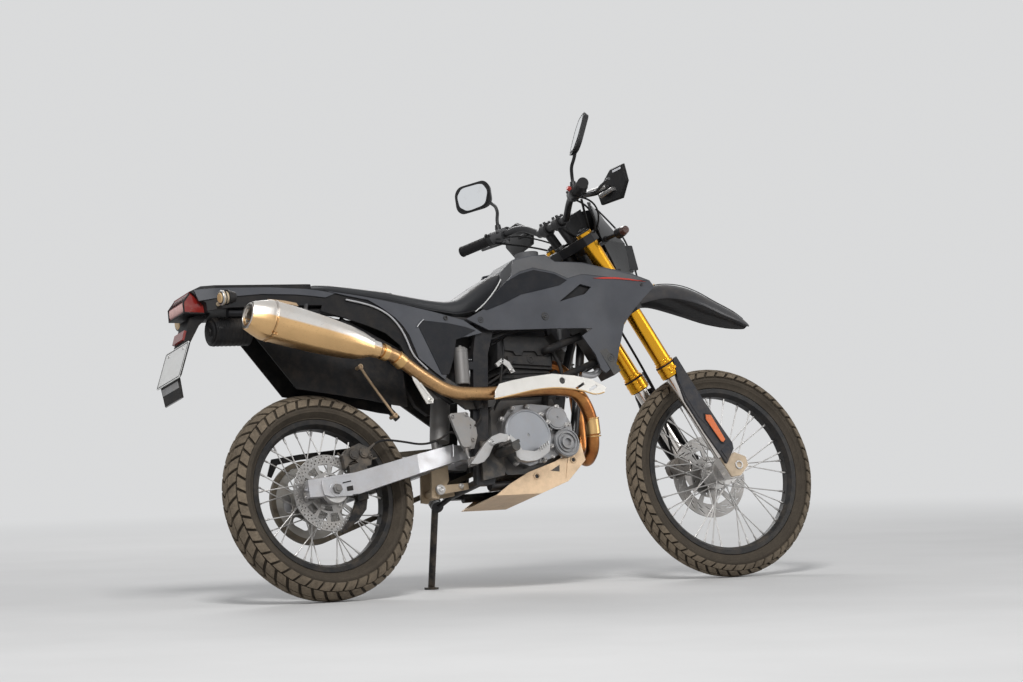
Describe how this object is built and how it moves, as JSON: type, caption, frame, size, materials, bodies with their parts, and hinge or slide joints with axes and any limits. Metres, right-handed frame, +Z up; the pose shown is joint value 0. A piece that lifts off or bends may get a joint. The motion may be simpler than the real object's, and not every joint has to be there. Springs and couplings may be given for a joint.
{
  "type": "dual sport motorcycle",
  "caption": "Trail motorcycle for road and dirt, parked on its side stand: wire wheels, long fork, bench seat and side exhaust; it steers, its wheels turn and the stand folds.",
  "frame": {"origin": "on the floor, under the middle of the whole parked bike", "axes": "+X forward along the bike, +Y to its left, towards the side it leans to, +Z up"},
  "size_m": [2.2954, 0.9094, 1.5106],
  "materials": {
    "frame_black": "satin",
    "engine_alloy": "cast",
    "engine_dark": "cast",
    "cover_silver": "satin",
    "black_plastic": "moulded",
    "radiator_alloy": "finned",
    "black_rubber": "matte",
    "header_steel": "heat tinted",
    "silencer_steel": "satin",
    "shield_alloy": "satin",
    "tank_plastic": "moulded",
    "seat_cover": "grained vinyl",
    "grey_plastic": "satin",
    "dark_plastic": "moulded",
    "red_lens": "clear",
    "plate_white": "satin",
    "indicator_lens": "clear",
    "swingarm_alloy": "satin",
    "shock_steel": "satin",
    "brake_alloy": "satin",
    "chain_steel": "oiled",
    "pedal_alloy": "satin",
    "peg_steel": "satin",
    "skid_alloy": "brushed",
    "clamp_black": "black",
    "gold_anodised": "anodised",
    "slider_chrome": "polished",
    "guard_plastic": "moulded",
    "fender_plastic": "moulded",
    "bar_alloy": "satin",
    "lever_alloy": "satin",
    "mirror_shell": "moulded",
    "meter_black": "moulded",
    "guard_black": "moulded",
    "cowl_black": "satin",
    "lamp_glass": "clear",
    "amber_lens": "clear",
    "tyre_rubber": "dusty",
    "rim_black": "satin",
    "hub_alloy": "satin",
    "disc_steel": "ground",
    "sprocket_steel": "satin",
    "stand_steel": "satin",
    "chain_guard_black": "moulded",
    "disc_guard_black": "moulded",
    "linkage_alloy": "cast"
  },
  "bodies": {
    "frame": {"main_frame": "frame_black", "subframe": "frame_black", "crankcase": "engine_alloy", "cylinder_head": "engine_dark", "engine_covers": "cover_silver", "throttle_body": "black_plastic", "radiators": "radiator_alloy", "coolant_hoses": "black_rubber", "exhaust_pipe": "header_steel", "silencer": "silencer_steel", "heat_shield": "shield_alloy", "fuel_tank": "tank_plastic", "seat": "seat_cover", "shrouds": "grey_plastic", "side_covers": "dark_plastic", "rear_fender": "black_plastic", "rear_lamps": "red_lens", "number_plate": "plate_white", "rear_indicators": "indicator_lens", "canister": "black_plastic", "inner_fender": "black_plastic", "swingarm": "swingarm_alloy", "shock_absorber": "shock_steel", "rear_caliper": "brake_alloy", "chain": "chain_steel", "foot_controls": "pedal_alloy", "footpegs": "peg_steel", "skid_plate": "skid_alloy", "chain_guard": "chain_guard_black", "disc_guard": "disc_guard_black", "linkage": "linkage_alloy"},
    "steering": {"fork_clamps": "clamp_black", "fork_tubes": "gold_anodised", "fork_sliders": "slider_chrome", "fork_guards": "guard_plastic", "front_fender": "fender_plastic", "handlebar": "bar_alloy", "grips": "black_rubber", "control_levers": "lever_alloy", "mirrors": "mirror_shell", "meter": "meter_black", "hand_guards": "guard_black", "headlight_cowl": "cowl_black", "headlight": "lamp_glass", "front_indicators": "amber_lens", "front_caliper": "brake_alloy", "brake_hose": "black_rubber"},
    "front_wheel": {"front_tyre": "tyre_rubber", "front_rim": "rim_black", "front_hub": "hub_alloy", "front_disc": "disc_steel"},
    "rear_wheel": {"rear_tyre": "tyre_rubber", "rear_rim": "rim_black", "rear_hub": "hub_alloy", "rear_disc": "disc_steel", "rear_sprocket": "sprocket_steel"},
    "side_stand": {"side_stand": "stand_steel"}
  },
  "joints": [
    {"name": "steering", "type": "hinge", "parent": "frame", "child": "steering", "pos_m": [0.46114, -0.11883, 0.84118], "axis": [-0.4619, 0.2146, 0.8606], "range_deg": [-42.5, 47.5]},
    {"name": "front_wheel_spin", "type": "hinge", "parent": "steering", "child": "front_wheel", "pos_m": [0.80237, -0.24702, 0.33845], "axis": [0.0387, 0.9742, -0.2221], "continuous": true},
    {"name": "rear_wheel_spin", "type": "hinge", "parent": "frame", "child": "rear_wheel", "pos_m": [-0.68757, -0.24966, 0.31622], "axis": [0, 0.9703, -0.2419], "continuous": true},
    {"name": "side_stand_fold", "type": "hinge", "parent": "frame", "child": "side_stand", "pos_m": [-0.20356, -0.12449, 0.27685], "axis": [0.2083, 0.8977, 0.3883], "range_deg": [0, 102.3]}
  ]
}
